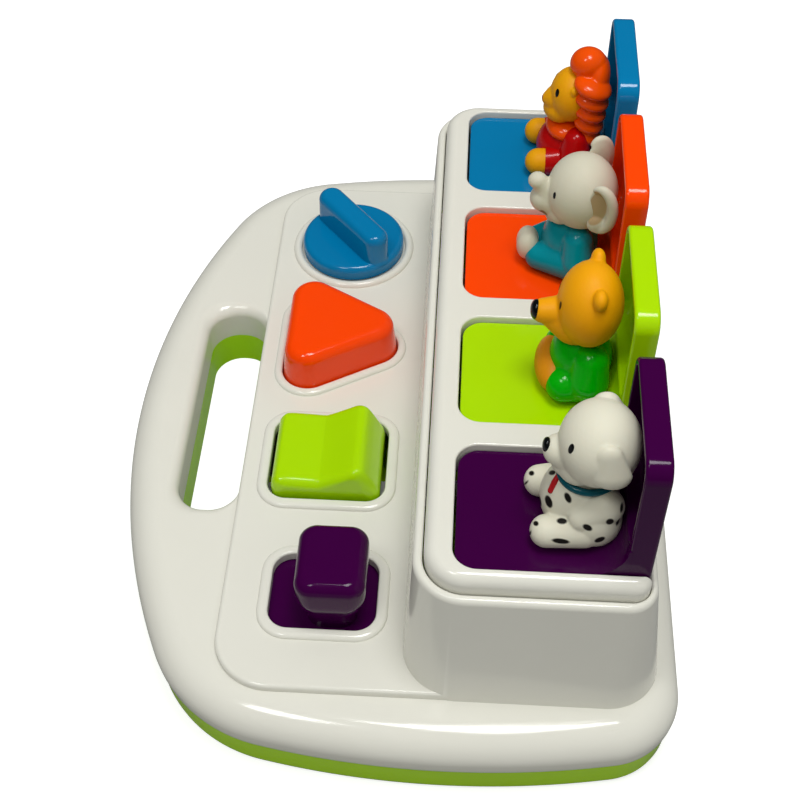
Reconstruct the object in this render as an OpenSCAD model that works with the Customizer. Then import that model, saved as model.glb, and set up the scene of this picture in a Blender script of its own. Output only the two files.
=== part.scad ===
// Pop-up animal toy: a D-shaped base with a carrying slot, four controls in a row,
// and four spring-loaded lids, each with a seated animal. Working a control tips its
// release lever, which lets go of the lid behind it.
// Axes: X along the row of controls, -Y towards the child, +Z up, origin under the middle.

/* [Base] */
// Length of the base along the row
base_w = 320; // [318:1:324]
// Depth of the base from its bowed front to its rear
base_d = 225; // [224:1:227]
// Height of the green tray, up to the seam
tray_h = 16; // [15:0.5:17]
// Height of the white rim's top
rim_z = 33; // [32.5:0.5:33.5]
// Height of the raised control panel
panel_z = 36; // [35.5:0.5:36.5]
// Wall thickness of the mouldings
wall = 2.4; // [2.2:0.1:2.6]

/* [Pop-up box] */
// Distance from one control, lid and animal to the next
pitch = 65; // [65:0.5:66]
// Height of the box's ledge
ledge_z = 90; // [89:0.5:90]
// Height of the white deck round the lids
deck_z = 97; // [97:0.5:98]
// Width of each lid opening
well_w = 54; // [53.5:0.5:54]

/* [Lids] */
// Width of each lid
lid_w = 53; // [52.5:0.5:53]
// Height of an open lid's top edge
lid_top = 151.5; // [150:0.5:151.5]
// Thickness of a lid's rim
lid_t = 9; // [8.5:0.5:9]

/* [Controls] */
// Radius of the dial's disc
dial_r = 23.6; // [23:0.1:24]
// Height of the triangular button above the panel
button_h = 18; // [16:0.5:19]
// Height of the sliding lever's knob above the panel
lever_h = 26; // [24:0.5:27]

/* [Hidden] */
$fn = 48;

// Colours of the mouldings
blue = [0.0, 0.45, 0.65];
orange = [1.0, 0.28, 0.0];
green = [0.66, 0.83, 0.0];
purple = [0.24, 0.0, 0.27];
white = [0.93, 0.93, 0.9];
steel = [0.75, 0.76, 0.78];

// The row: one column per control, lid and animal
col_x = [-1.5 * pitch, -0.5 * pitch, 0.5 * pitch, 1.5 * pitch];
BLUE = 0;
ORANGE = 1;
GREEN = 2;
PURPLE = 3;
eps = 0.01;

// Outline of the base: a big front arc, two sides, and four corners, all tangent
front_r = 283;
side_r = 350;
side_y = 25;
corner_r = 60;
rear_corner_r = 29;
half_d = base_d / 2;
front_c = [0, front_r - half_d];
side_c = [base_w / 2 - side_r, side_y];
corner_c = circles_meet(front_c, front_r - corner_r, side_c, side_r - corner_r);
rear_c_y = half_d - rear_corner_r;
rear_c = [side_c.x + sqrt(pow(side_r - rear_corner_r, 2) - pow(rear_c_y - side_c.y, 2)), rear_c_y];

// Carrying slot in the front of the base
slot_w = 112;
slot_y0 = -88;
slot_y1 = -62;
slot_r = 12.5;

// Raised control panel and the box behind it
panel_x = 139.2;
panel_y0 = slot_y1 + 0.2;
panel_r = 22;
panel_back = 60;
// Half width, front, rear, front corners and rear corners of the box, at its foot and its ledge
box_foot = [139.7, 8.7, 103.8, 20, 20];
box_top = [134.1, 11.8, 96.5, 18.5, 11];
box_foot_in = [137.2, 11.3, 101.2, 17.5, 17.5];
box_top_in = [131.5, 14.3, 93.9, 16, 8.5];
bead_in = 3.6;

// Deck frame and lid openings
deck_x = 130;
deck_y0 = 15.8;
deck_y1 = 93.5;
deck_roll = 4.5;
deck_low = 88;
deck_skin = 2.5;
well_y0 = 25.6;
well_r = 8.5;
flange = 2.2;
bar_end_y = 80;

// Lid hinge
hinge_y = 87.5;
hinge_z = 91.3;
rod_r = 1.5;
bore_r = 1.56;
barrel_r = 5.5;
lid_rear = hinge_y + barrel_r;
lid_front = lid_rear - lid_t;
floor_top = deck_z - 2.7;
floor_t = 2.5;
floor_y0 = 26.4;
lid_fillet = 15;
seat_screw_y = 64;
stop_z = deck_low - 0.5;

// Release levers
pivot_y = -54.5;
pivot_z = 10;
lever_w = 8;
arm_front = [pivot_y, 7, 14];
arm_back = [84.2, 19.5, 25.5];
tooth_z = 32.7;
nose_z = [20.6, 21.5, 21.5, 21.5];
nose_r = 2.5;
nose_y = [-14, -10, -12, -20];
lever_spring_y = 20;
lever_spring_top = 13.1;

// Controls
dial_y = -26.3;
button_y = -30.9;
rocker_y = -26.4;
rocker_pivot_z = 31;
window_y = -22.5;
lever_y = -18.7;

// ---------- outlines ----------

function circles_meet(p, rp, q, rq) =
    let (
        d = norm(q - p),
        a = (rp * rp - rq * rq + d * d) / (2 * d),
        h = sqrt(rp * rp - a * a),
        u = (q - p) / d
    )
    p + a * u + h * [-u.y, u.x] * (u.x < 0 ? 1 : -1);

function heading(from, to) = atan2(to.y - from.y, to.x - from.x);

function arc(c, r, a0, a1, n) =
    [for (i = [0:n]) c + r * [cos(a0 + (a1 - a0) * i / n), sin(a0 + (a1 - a0) * i / n)]];

function tail(v) = [for (i = [1:len(v) - 1]) v[i]];

// Right half of the base outline, drawn in by an inset, from front middle to rear corner
function base_half(inset) =
    let (
        a1 = heading(front_c, corner_c),
        a2 = heading(side_c, corner_c),
        a3 = heading(side_c, rear_c)
    )
    concat(
        arc(front_c, front_r - inset, -90, a1, 5),
        tail(arc(corner_c, corner_r - inset, a1, a2, 6)),
        tail(arc(side_c, side_r - inset, a2, a3, 4)),
        tail(arc(rear_c, rear_corner_r - inset, a3, 90, 6))
    );

function base_ring(inset, z) =
    let (h = base_half(inset))
    [for (p = concat(h, [for (i = [len(h) - 1:-1:1]) [-h[i].x, h[i].y]])) [p.x, p.y, z]];

// Rounded rectangle from x0,y0 to x1,y1 at a height, with its front and rear corner radii
function rect_ring(x0, x1, y0, y1, r, z, rear_r = 0, n = 5) =
    let (q = rear_r > 0 ? rear_r : r)
    [for (c = [[x1 - r, y0 + r, -90, r], [x1 - q, y1 - q, 0, q], [x0 + q, y1 - q, 90, q],
        [x0 + r, y0 + r, 180, r]])
        for (i = [0:n])
            [c.x + c[3] * cos(c.z + 90 * i / n), c.y + c[3] * sin(c.z + 90 * i / n), z]];

// Rounded triangle with its corner arcs' centres at a distance d from its middle
function tri_ring(cx, cy, d, r, z, n = 6) =
    [for (k = [0:2]) for (i = [0:n])
        let (a = -30 + 120 * k, b = a - 60 + 120 * i / n)
        [cx + d * cos(a) + r * cos(b), cy + d * sin(a) + r * sin(b), z]];

// Solid through a stack of rings that have the same number of points
module loft(rings) {
    n = len(rings[0]);
    m = len(rings);
    polyhedron(
        points = [for (r = rings) each r],
        faces = concat(
            [[for (i = [0:n - 1]) i]],
            [for (k = [0:m - 2], i = [0:n - 1])
                each [
                    [k * n + i, (k + 1) * n + i, (k + 1) * n + (i + 1) % n],
                    [k * n + i, (k + 1) * n + (i + 1) % n, k * n + (i + 1) % n]
                ]],
            [[for (i = [n - 1:-1:0]) (m - 1) * n + i]]
        )
    );
}

// Flat rounded rectangle with true arcs
module rounded(x0, x1, y0, y1, r) {
    translate([x0 + r, y0]) square([x1 - x0 - 2 * r, y1 - y0]);
    translate([x0, y0 + r]) square([x1 - x0, y1 - y0 - 2 * r]);
    for (x = [x0 + r, x1 - r], y = [y0 + r, y1 - r])
        translate([x, y]) circle(r);
}

module prism(z0, z1) {
    translate([0, 0, z0]) linear_extrude(z1 - z0) children();
}

// Cylinder along X, from x0 to x1
module rod_x(x0, x1, y, z, r) {
    translate([x0, y, z]) rotate([0, 90, 0]) cylinder(r = r, h = x1 - x0);
}

// Profile in the Y-Z plane, extruded along X and centred on x
module side_profile(x, w) {
    translate([x - w / 2, 0, 0]) rotate([90, 0, 90]) linear_extrude(w) children();
}

module block(x0, x1, y0, y1, z0, z1) {
    translate([x0, y0, z0]) cube([x1 - x0, y1 - y0, z1 - z0]);
}

// Round wire along a helix on the Z axis
module coil(mean_r, wire_r, length, turns, per_turn = 8, sides = 5) {
    steps = turns * per_turn;
    rise = length - 2 * wire_r;
    loft_wire([for (i = [0:steps])
        let (a = 360 * i / per_turn)
        [for (k = [0:sides - 1])
            let (b = 360 * k / sides, rr = mean_r + wire_r * cos(b))
            [rr * cos(a), rr * sin(a), wire_r + rise * i / steps + wire_r * sin(b)]]]);
}

// As loft, for rings that travel along a wire
module loft_wire(rings) {
    loft([for (r = rings) [for (i = [len(r) - 1:-1:0]) r[i]]]);
}

// ---------- base ----------

base_screw_at = [[85, -82], [146, -5], [143, 86], [-85, -82], [-146, -5], [-143, 86]];

module slot_hole(z0, z1) {
    prism(z0, z1) rounded(-slot_w / 2, slot_w / 2, slot_y0, slot_y1, slot_r);
}

module slot_sleeve(z0, z1) {
    prism(z0, z1)
        rounded(-slot_w / 2 - wall, slot_w / 2 + wall, slot_y0 - wall, slot_y1 + wall, slot_r + wall);
}

module base_tray() {
    color(green) difference() {
        union() {
            difference() {
                loft([
                    base_ring(4, 0), base_ring(2.6, 1), base_ring(2.1, 3), base_ring(1.6, tray_h)
                ]);
                loft([base_ring(5, 2.5), base_ring(4.2, tray_h + 1)]);
            }
            slot_sleeve(1, tray_h);
            for (p = base_screw_at)
                translate([p.x, p.y, 1]) cylinder(r = 4.6, h = tray_h - 1);
            for (x = col_x) {
                translate([x, lever_spring_y, 1]) cylinder(r = 2.2, h = 4.5);
                for (s = [-1, 1])
                    block(x + s * 6.1 - 1.5, x + s * 6.1 + 1.5, pivot_y - 3.8, pivot_y + 3.8, 1, pivot_z + 4);
            }
        }
        rod_x(-120, 120, pivot_y, pivot_z, bore_r);
        slot_hole(-1, tray_h + 1);
        for (p = base_screw_at) {
            translate([p.x, p.y, -1]) cylinder(r = 3.6, h = 9);
            translate([p.x, p.y, 0]) cylinder(r = 1.8, h = tray_h + 1);
        }
    }
}

// Outer skin of the white shell: rolled rim, platform, raised panel and box
module shell_skin() {
    roll_in = 13;
    roll_z = 22;
    roll_up = rim_z - roll_z;
    difference() {
        loft(concat(
            [base_ring(1, tray_h), base_ring(0.3, tray_h + 3)],
            [for (t = [0:18:90]) base_ring(roll_in * (1 - cos(t)), roll_z + roll_up * sin(t))]
        ));
        // Rolled lip of the carrying slot
        lip = 5;
        loft([for (t = [90:-22.5:0])
            let (g = lip * (1 - sin(t)))
            rect_ring(-slot_w / 2 - g, slot_w / 2 + g, slot_y0 - g, slot_y1, slot_r,
                rim_z - lip + lip * cos(t) + (t == 0 ? eps : 0))]);
    }
    panel_skin();
    loft([
        box_ring(box_foot, 0, rim_z - 2), box_ring(box_top, 0, ledge_z - 3),
        box_ring(box_top, 0.3, ledge_z - 1.2), box_ring(box_top, 1.2, ledge_z - 0.3),
        box_ring(box_top, 1.8, ledge_z)
    ]);
}

function box_ring(b, inset, z) =
    rect_ring(-b[0] + inset, b[0] - inset, b[1] + inset, b[2] - inset, b[3] - inset, z, b[4] - inset);

module panel_skin() {
    loft([for (e = [[0, rim_z - 2], [0, panel_z - 1.4], [0.4, panel_z - 0.4], [1.4, panel_z]])
        rect_ring(-panel_x + e[0], panel_x - e[0], panel_y0 + e[0], panel_back, panel_r - e[0], e[1])]);
}

// The hollow under the skin
module shell_hollow() {
    difference() {
        loft([
            base_ring(1 + wall, tray_h - 1), base_ring(wall, 22), base_ring(3 + wall, 28),
            base_ring(12, rim_z - wall)
        ]);
        slot_sleeve(tray_h - 2, rim_z);
    }
    prism(rim_z - wall - 1, panel_z - wall)
        rounded(-panel_x + wall + 1, panel_x - wall - 1, panel_y0 + wall + 0.4, panel_back - 2, 19);
    loft([box_ring(box_foot_in, 0, rim_z - 4), box_ring(box_top_in, 0, ledge_z - 2)]);
    loft([for (z = [ledge_z - 2.1, ledge_z + 1])
        rect_ring(-box_top[0] + bead_in, box_top[0] - bead_in, box_top[1] + bead_in, 93.8, 15, z, 7)]);
}

// Rounded bead round a control's window
module bezel_rect(x, y, hx, hy, r) {
    b = 4.4;
    loft([for (e = [[0, panel_z - 1], [0, panel_z + 0.5], [0.7, panel_z + 1.4], [1.9, panel_z + 1.8]])
        rect_ring(x - hx - b + e[0], x + hx + b - e[0], y - hy - b + e[0], y + hy + b - e[0],
            r + b - e[0], e[1])]);
}

module bezels() {
    translate([col_x[BLUE], dial_y, panel_z]) rotate_extrude() {
        translate([26.2, 0]) circle(2);
    }
    loft([for (e = [[0, panel_z - 1], [0, panel_z + 0.5], [0.7, panel_z + 1.4], [1.9, panel_z + 1.8]])
        tri_ring(col_x[ORANGE], button_y, 18, 14.8 - e[0], e[1])]);
    bezel_rect(col_x[GREEN], rocker_y, 21.2, 24, 8);
    bezel_rect(col_x[PURPLE], window_y, 16.8, 20.6, 8);
}

module windows() {
    translate([col_x[BLUE], dial_y, panel_z - 6]) cylinder(r = 6.08, h = 12);
    translate([0, 0, panel_z - 6]) linear_extrude(12) button_window(11.3);
    prism(panel_z - 6, panel_z + 6)
        rounded(col_x[GREEN] - 21.2, col_x[GREEN] + 21.2, rocker_y - 24, rocker_y + 24, 8);
    prism(panel_z - 6, panel_z + 6)
        rounded(col_x[PURPLE] - 16.8, col_x[PURPLE] + 16.8, window_y - 20.6, window_y + 20.6, 8);
}

// Flat rounded triangle of the button's window
module button_window(r) {
    polygon([for (p = tri_ring(col_x[ORANGE], button_y, 18, r, 0)) [p.x, p.y]]);
}

// Brackets inside the shell: rocker bearings, slide rails, screw posts and deck lugs
module shell_brackets() {
    for (s = [-1, 1]) {
        block(col_x[GREEN] + s * 24.4 - 2, col_x[GREEN] + s * 24.4 + 2, rocker_y - 5, rocker_y + 5,
            rocker_pivot_z - 4, panel_z - 1);
        block(col_x[PURPLE] + s * 20.8 - 1.2, col_x[PURPLE] + s * 20.8 + 1.2, -58, 4, 28.4, panel_z - 1);
        block(col_x[PURPLE] + s * 19.2 - 1.8, col_x[PURPLE] + s * 19.2 + 1.8, -58, 4, 28.4, 30.4);
    }
    for (p = base_screw_at)
        translate([p.x, p.y, tray_h]) cylinder(r = 4.2, h = rim_z - tray_h - 1);
    for (p = deck_screw_at)
        block(p.x - 4, p.x + 4, p.y < 50 ? 12 : p.y - 4, p.y < 50 ? p.y + 4 : 95, 80, 84);
}

deck_screw_at = [[-pitch, 20.7], [0, 20.7], [pitch, 20.7], [-pitch, 74], [0, 74], [pitch, 74]];

module upper_shell() {
    color(white) difference() {
        union() {
            difference() {
                union() {
                    shell_skin();
                    bezels();
                }
                shell_hollow();
            }
            shell_brackets();
        }
        slot_hole(tray_h - 1, panel_z + 5);
        windows();
        rod_x(col_x[GREEN] - 30, col_x[GREEN] + 30, rocker_y, rocker_pivot_z, 2.06);
        for (p = base_screw_at)
            translate([p.x, p.y, tray_h - 1]) cylinder(r = 1.4, h = 13);
        for (p = deck_screw_at)
            translate([p.x, p.y, 79]) cylinder(r = 1.7, h = 6);
    }
}

// ---------- deck frame ----------

function deck_ring(inset, z) =
    rect_ring(-deck_x + inset, deck_x - inset, deck_y0 + inset, deck_y1 - inset, 14.6 - inset, z,
        6 - inset);

module deck_frame() {
    bar_half = (pitch - well_w) / 2;
    color(white) difference() {
        union() {
            difference() {
                loft(concat(
                    [deck_ring(0, deck_low), deck_ring(0, deck_z - deck_roll)],
                    [for (t = [22.5:22.5:90])
                        deck_ring(deck_roll * (1 - cos(t)), deck_z - deck_roll + deck_roll * sin(t))]
                ));
                // Hollow of the front strip and of the four bars
                block(-deck_x + 16, deck_x - 16, deck_y0 + flange, well_y0 - flange, deck_low - 1,
                    deck_z - deck_skin);
                for (x = [-pitch, 0, pitch])
                    block(x - bar_half + flange, x + bar_half - flange, deck_y0 + flange, bar_end_y,
                        deck_low - 1, deck_z - deck_skin);
            }
            for (p = deck_screw_at)
                translate([p.x, p.y, 84.2]) cylinder(r = 3.2, h = deck_z - deck_skin - 84);
        }
        for (x = col_x)
            prism(deck_low - 1, deck_z + 1)
                rounded(x - well_w / 2, x + well_w / 2, well_y0, deck_y1 + 20, well_r);
        rod_x(-deck_x - 1, deck_x - 2.5, hinge_y, hinge_z, bore_r);
        for (p = deck_screw_at)
            translate([p.x, p.y, 84]) cylinder(r = 1.3, h = 9);
    }
}

// ---------- rods and screws ----------

module hinge_rod() {
    color(steel) rod_x(-deck_x + 0.6, deck_x - 2.8, hinge_y, hinge_z, rod_r);
}

module lever_rod() {
    reach = col_x[PURPLE] + 7.6;
    color(steel) rod_x(-reach, reach, pivot_y, pivot_z, rod_r);
}

// Round-headed screw standing on its head's underside at z = 0, shank upwards
module screw(head_r, head_h, shank_r, length) {
    difference() {
        union() {
            translate([0, 0, -head_h]) cylinder(r = head_r, h = head_h);
            translate([0, 0, -0.2]) cylinder(r = shank_r, h = length + 0.2);
        }
        for (a = [0, 90])
            rotate([0, 0, a]) translate([-head_r * 0.6, -0.35, -head_h - 1])
                cube([head_r * 1.2, 0.7, 2]);
    }
}

module base_screws() {
    color(steel) for (p = base_screw_at)
        translate([p.x, p.y, 8]) screw(3.2, 2.2, 1.3, 17);
}

module deck_screws() {
    color(steel) for (p = deck_screw_at)
        translate([p.x, p.y, 80]) screw(2.8, 1.8, 1.2, 11);
}

// ---------- lids ----------

module lid(i) {
    x = col_x[i];
    h = lid_w / 2;
    rim = 2.5;
    difference() {
        union() {
            // Back panel with rounded top corners
            translate([0, lid_rear, 0]) rotate([90, 0, 0]) linear_extrude(lid_t)
                difference() {
                    rounded(x - h, x + h, hinge_z - 20, lid_top, 7);
                    translate([x - h - 1, hinge_z - 21]) square([lid_w + 2, 21]);
                }
            // Floor with rounded front corners
            prism(floor_top - floor_t, floor_top)
                difference() {
                    rounded(x - h, x + h, floor_y0, lid_rear + 10, 8);
                    translate([x - h - 1, hinge_y]) square([lid_w + 2, 30]);
                }
            // Hollow curve between the floor and the panel
            side_profile(x, lid_w) difference() {
                translate([lid_front - lid_fillet, floor_top - 1]) square([lid_fillet + 1, lid_fillet + 1]);
                translate([lid_front - lid_fillet, floor_top + lid_fillet]) circle(lid_fillet);
            }
            rod_x(x - h, x + h, hinge_y, hinge_z, barrel_r);
            // Stops that meet the underside of the deck's bars when the lid is open
            for (s = [-1, 1]) {
                block(x + s * 25 - 1.5, x + s * 25 + 1.5, 60, 66, stop_z - 2.6, floor_top - 1);
                block(x + s * 26 - 2.5, x + s * 26 + 2.5, 60, 66, stop_z - 2.6, stop_z);
            }
        }
        // Recess in the panel's inner face, above the curve
        translate([0, lid_rear - rim, 0]) rotate([90, 0, 0]) linear_extrude(lid_t)
            rounded(x - h + rim, x + h - rim, floor_top + lid_fillet - 1, lid_top - rim, 4.5);
        rod_x(x - h - 1, x + h + 1, hinge_y, hinge_z, bore_r);
        rod_x(x - h - 1, x - h + 11.5, hinge_y, hinge_z, 4.2);
        for (s = [-1, 1])
            translate([x + s * 5, seat_screw_y, floor_top - floor_t - 1]) cylinder(r = 1.5, h = floor_t + 2);
    }
}

module lid_blue() { color(blue) lid(BLUE); }
module lid_orange() { color(orange) lid(ORANGE); }
module lid_green() { color(green) lid(GREEN); }
module lid_purple() { color(purple) lid(PURPLE); }

module lid_spring(i) {
    color(steel) translate([col_x[i] - lid_w / 2 + 0.6, hinge_y, hinge_z]) rotate([0, 90, 0])
        coil(3.1, 0.45, 10, 5);
}

module lid_spring_blue() { lid_spring(BLUE); }
module lid_spring_orange() { lid_spring(ORANGE); }
module lid_spring_green() { lid_spring(GREEN); }
module lid_spring_purple() { lid_spring(PURPLE); }

// ---------- release levers ----------

// Long lever under a control, hinged at its front end; the hook at its back holds the front edge
// of the shut lid's floor, and drops away from it when the control presses the nose
module release_lever(i) {
    x = col_x[i];
    hook_y = arm_back[0];
    color(white) difference() {
        side_profile(x, lever_w) {
            polygon([[arm_front[0], arm_front[1] - 0.5], [hook_y, arm_back[1]], [hook_y, tooth_z],
                [hook_y - 2, tooth_z], [hook_y - 8, arm_back[2]], [arm_front[0], arm_front[2]]]);
            translate([pivot_y, pivot_z]) circle(4);
            translate([nose_y[i], nose_z[i]]) circle(nose_r);
            translate([nose_y[i] - nose_r, pivot_z + 3]) square([2 * nose_r, nose_z[i] - pivot_z - 3]);
        }
        rod_x(x - 10, x + 10, pivot_y, pivot_z, bore_r);
    }
}

module release_lever_blue() { release_lever(BLUE); }
module release_lever_orange() { release_lever(ORANGE); }
module release_lever_green() { release_lever(GREEN); }
module release_lever_purple() { release_lever(PURPLE); }

module lever_spring(i) {
    color(steel) translate([col_x[i], lever_spring_y, 2.6])
        coil(3.2, 0.45, lever_spring_top - 2.6, 3);
}

module lever_spring_blue() { lever_spring(BLUE); }
module lever_spring_orange() { lever_spring(ORANGE); }
module lever_spring_green() { lever_spring(GREEN); }
module lever_spring_purple() { lever_spring(PURPLE); }

// ---------- controls ----------

module dial_knob() {
    grip_angle = 40;
    grip_half = 16;
    grip_r = 5.2;
    color(blue) translate([col_x[BLUE], dial_y, panel_z]) difference() {
        union() {
            rotate_extrude() difference() {
                union() {
                    square([dial_r - 3, 7.6]);
                    square([dial_r, 4.6]);
                    translate([dial_r - 3, 4.6]) circle(3);
                }
                translate([-10, -10]) square([40, 10.4]);
            }
            translate([0, 0, -7]) cylinder(r = 6, h = 8);
            rotate([0, 0, grip_angle]) hull() for (s = [-1, 1]) {
                translate([s * (grip_half + 0.6), 0, 5]) cylinder(r = grip_r + 0.3, h = 1, $fn = 24);
                translate([s * grip_half, 0, 15.8]) sphere(r = grip_r, $fn = 24);
            }
        }
        translate([0, 0, -8]) cylinder(r = 1.3, h = 12);
    }
}

// Face cam on the dial's shaft: its ramp presses the release lever's nose
module dial_cam() {
    ramp_in = 9;
    ramp_out = 18.5;
    steps = 8;
    first = 3;
    last = 102;
    top = 29.2;
    drop = 3.9;
    color(white) translate([col_x[BLUE], dial_y, 0]) difference() {
        union() {
            translate([0, 0, 25.5]) cylinder(r = 7, h = 3.5);
            translate([0, 0, 28.9]) cylinder(r = ramp_out + 1, h = 2.1);
            polyhedron(
                points = [for (i = [0:steps])
                    let (a = first + (last - first) * i / steps, z = 24.5 - drop * (1 - i / steps))
                    each [
                        [ramp_in * cos(a), ramp_in * sin(a), z],
                        [ramp_out * cos(a), ramp_out * sin(a), z],
                        [ramp_out * cos(a), ramp_out * sin(a), top],
                        [ramp_in * cos(a), ramp_in * sin(a), top]
                    ]],
                faces = concat(
                    [[3, 2, 1, 0]],
                    [for (i = [0:steps - 1], k = [0:3])
                        each [
                            [4 * i + k, 4 * i + 4 + (k + 1) % 4, 4 * i + 4 + k],
                            [4 * i + k, 4 * i + (k + 1) % 4, 4 * i + 4 + (k + 1) % 4]
                        ]],
                    [[for (k = [0:3]) 4 * steps + k]]
                )
            );
        }
        translate([0, 0, 28]) cylinder(r = 1.6, h = 4);
        translate([0, 0, 24]) cylinder(r = 3.2, h = 3.5);
        translate([0, 0, 26]) cylinder(r = 1.6, h = 4);
        translate([0, 0, 29]) cylinder(r = 6.1, h = 4);
    }
}

module dial_screw() {
    color(steel) translate([col_x[BLUE], dial_y, 27.5]) screw(2.8, 1.6, 1.2, 9);
}

module triangle_button() {
    x = col_x[ORANGE];
    top = panel_z + button_h;
    edge = 5;
    color(orange) difference() {
        union() {
            loft(concat(
                [tri_ring(x, button_y, 18, 13.2, 30.2), tri_ring(x, button_y, 18, 13.2, 32.6)],
                [tri_ring(x, button_y, 18, 10.8, 32.61), tri_ring(x, button_y, 18, 10.6, panel_z + 2)],
                [for (t = [0:22.5:90])
                    tri_ring(x, button_y, 17.6, 9.8 - edge * (1 - cos(t)), top - edge + edge * sin(t))]
            ));
        }
        loft([tri_ring(x, button_y, 18, 8.4, 29), tri_ring(x, button_y, 17.6, 7.4, top - 3 - edge),
            tri_ring(x, button_y, 17.6, 4, top - 3)]);
    }
    // Ribs inside, with the foot that presses the release lever
    color(orange) {
        block(x - 2, x + 2, -15, -7, 24.4, top - 2.5);
        block(x - 1, x + 1, -46, -10, 34, top - 2.5);
    }
}

module rocker_switch() {
    x = col_x[GREEN];
    w = 39;
    t = 3;
    color(green) difference() {
        union() {
            rocker_body(x, w);
            for (s = [-1, 1])
                rod_x(x + s * 22 - 3.8, x + s * 22 + 3.8, rocker_y, rocker_pivot_z, 2);
        }
        side_profile(x, w - 2 * t)
            polygon([for (p = [[-19, -12], [-19, 5.5], [-2, 4], [9, 10.5], [15, 10], [19.5, 0], [19.5, -12]])
                p + [rocker_y, panel_z]]);
    }
    // Rib down to the release lever's nose
    color(green) side_profile(x, 4)
        polygon([for (p = [[8, 11], [12, -11.6], [15.5, -11.6], [16, 0], [14, 12]])
            p + [rocker_y, panel_z]]);
}

// Rocker with a flat front half and a raised rear half, rounded along all its edges
module rocker_body(x, w) {
    top_line = [[-22.2, 3], [-21.2, 6.6], [-18, 9], [-2, 8.4], [10.4, 14.8], [13.2, 15.8], [16.2, 14.2],
        [21.4, 4], [22.2, 0]];
    n = len(top_line);
    edge = 4;
    rings = [for (s = [-1, 1]) for (t = s < 0 ? [90:-30:0] : [0:30:90])
        let (inset = edge * (1 - cos(t)), off = s * (w / 2 - edge + edge * sin(t)))
        [for (p = concat(top_line, [[22, -6], [-22, -6]]))
            let (top = p.y > -1 ? inset : 0)
            [x + off, rocker_y + p.x * (1 - inset / 22), panel_z + p.y - top]]];
    loft([for (r = rings) [for (i = [len(r) - 1:-1:0]) r[i]]]);
}

module slide_lever() {
    x = col_x[PURPLE];
    color(purple) {
        // Slide plate under the panel, wide enough to close the window at both ends
        prism(30.8, rim_z) rounded(x - 19, x + 19, -44.4, 13, 3);
        // Stick, narrow at its foot and flared to a rounded square head
        loft(concat(
            [for (e = [[13.4, 7.8, rim_z - 0.5], [13.6, 8.4, panel_z + 1], [14.4, 11.4, panel_z + 7],
                [15, 13.4, panel_z + 13], [14.8, 13.3, panel_z + lever_h - 6]])
                rect_ring(x - e[0], x + e[0], lever_y - e[1], lever_y + e[1], 6.5, e[2])],
            [for (t = [30:30:90])
                let (g = 4.5 * (1 - cos(t)))
                rect_ring(x - 14.8 + g, x + 14.8 - g, lever_y - 13.3 + g, lever_y + 13.3 - g, 6.5 - g / 2,
                    panel_z + lever_h - 6 + 6 * sin(t))]
        ));
        // Wedge that presses the release lever's nose as the plate slides forward
        side_profile(x, 6)
            polygon([[-24, 31], [-24, 24.7], [-21, 24.7], [-4, 21], [-4, 31]]);
    }
}

// ---------- animals ----------

// Ellipsoid at p with half sizes s
module ball(p, s, fine = 14) {
    hull() translate(p) scale(s) sphere(r = 1, $fn = fine);
}

// Rounded limb from p to q
module limb(p, q, rp, rq) {
    hull() {
        translate(p) sphere(r = rp, $fn = 10);
        translate(q) sphere(r = rq, $fn = 10);
    }
}

// Body, legs and arms of a seated animal in the column's own X, cut flat on the lid's floor
module seated_body(foot_x, foot_y, foot_r) {
    difference() {
        union() {
            ball([0, 68.5, 105], [12.5, 13.8, 16]);
            for (s = [-1, 1]) {
                limb([s * 9, 72, 101], [s * foot_x, foot_y, 100], 7.2, foot_r);
                limb([s * 9.5, 71.5, 114], [s * 12, 71, 105], 5.5, 6);
            }
            children();
        }
        block(-30, 30, 30, 90.2, 80, floor_top);
        side_profile(0, 60) difference() {
            translate([lid_front - lid_fillet, floor_top - 1]) square([lid_fillet + 5, lid_fillet + 1]);
            translate([lid_front - lid_fillet, floor_top + lid_fillet]) circle(lid_fillet - 0.2);
        }
        for (s = [-1, 1])
            translate([s * 5, seat_screw_y, 90]) cylinder(r = 1.4, h = 12, $fn = 16);
    }
}

module lion_figure() {
    color("goldenrod") translate([col_x[BLUE], 0, 0]) {
        seated_body(10.6, 56, 5.9);
        ball([0, 68.3, 128.3], [10.8, 9.4, 12]);
        limb([0, 62.5, 126], [0, 58.8, 125.5], 6, 3.2);
        ball([0, 64, 121.5], [8, 7, 6], 12);
        // Mane swept back in locks, with a rolled knob on top and a ruff under the chin
        ball([0, 76, 128], [13.4, 8.4, 15]);
        for (s = [-1, 1], k = [0:3])
            translate([s * 10.6, 75.6, 136.5 - 7 * k]) rotate([22, 0, 0]) ball([0, 0, 0], [4.4, 8, 4.4], 10);
        ball([0, 77, 140.5], [9.4, 6.6, 8.6], 12);
        ball([0, 73.3, 143.1], [7.4, 7.2, 7.6]);
        ball([0, 65.5, 113.6], [9.5, 6.4, 4], 12);
    }
}

module elephant_figure() {
    color("gainsboro") translate([col_x[ORANGE], 0, 0]) {
        // The feet meet in front of the belly
        seated_body(4.5, 56, 5.9)
            ball([0, 51.8, 101], [6.8, 4.8, 6.9]);
        ball([0, 70.6, 130.7], [15.1, 14, 15.2], 18);
        ball([0, 61.5, 121.5], [7.5, 6, 6], 12);
        limb([0, 60, 126], [0, 54, 129], 6.4, 4.2);
        limb([0, 54, 129], [0, 52.4, 134.6], 4.2, 3.6);
        for (s = [-1, 1])
            translate([s * 15, 77, 134]) rotate([0, 0, s * -18]) ball([0, 0, 0], [3, 6.8, 12.2]);
    }
}

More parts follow.
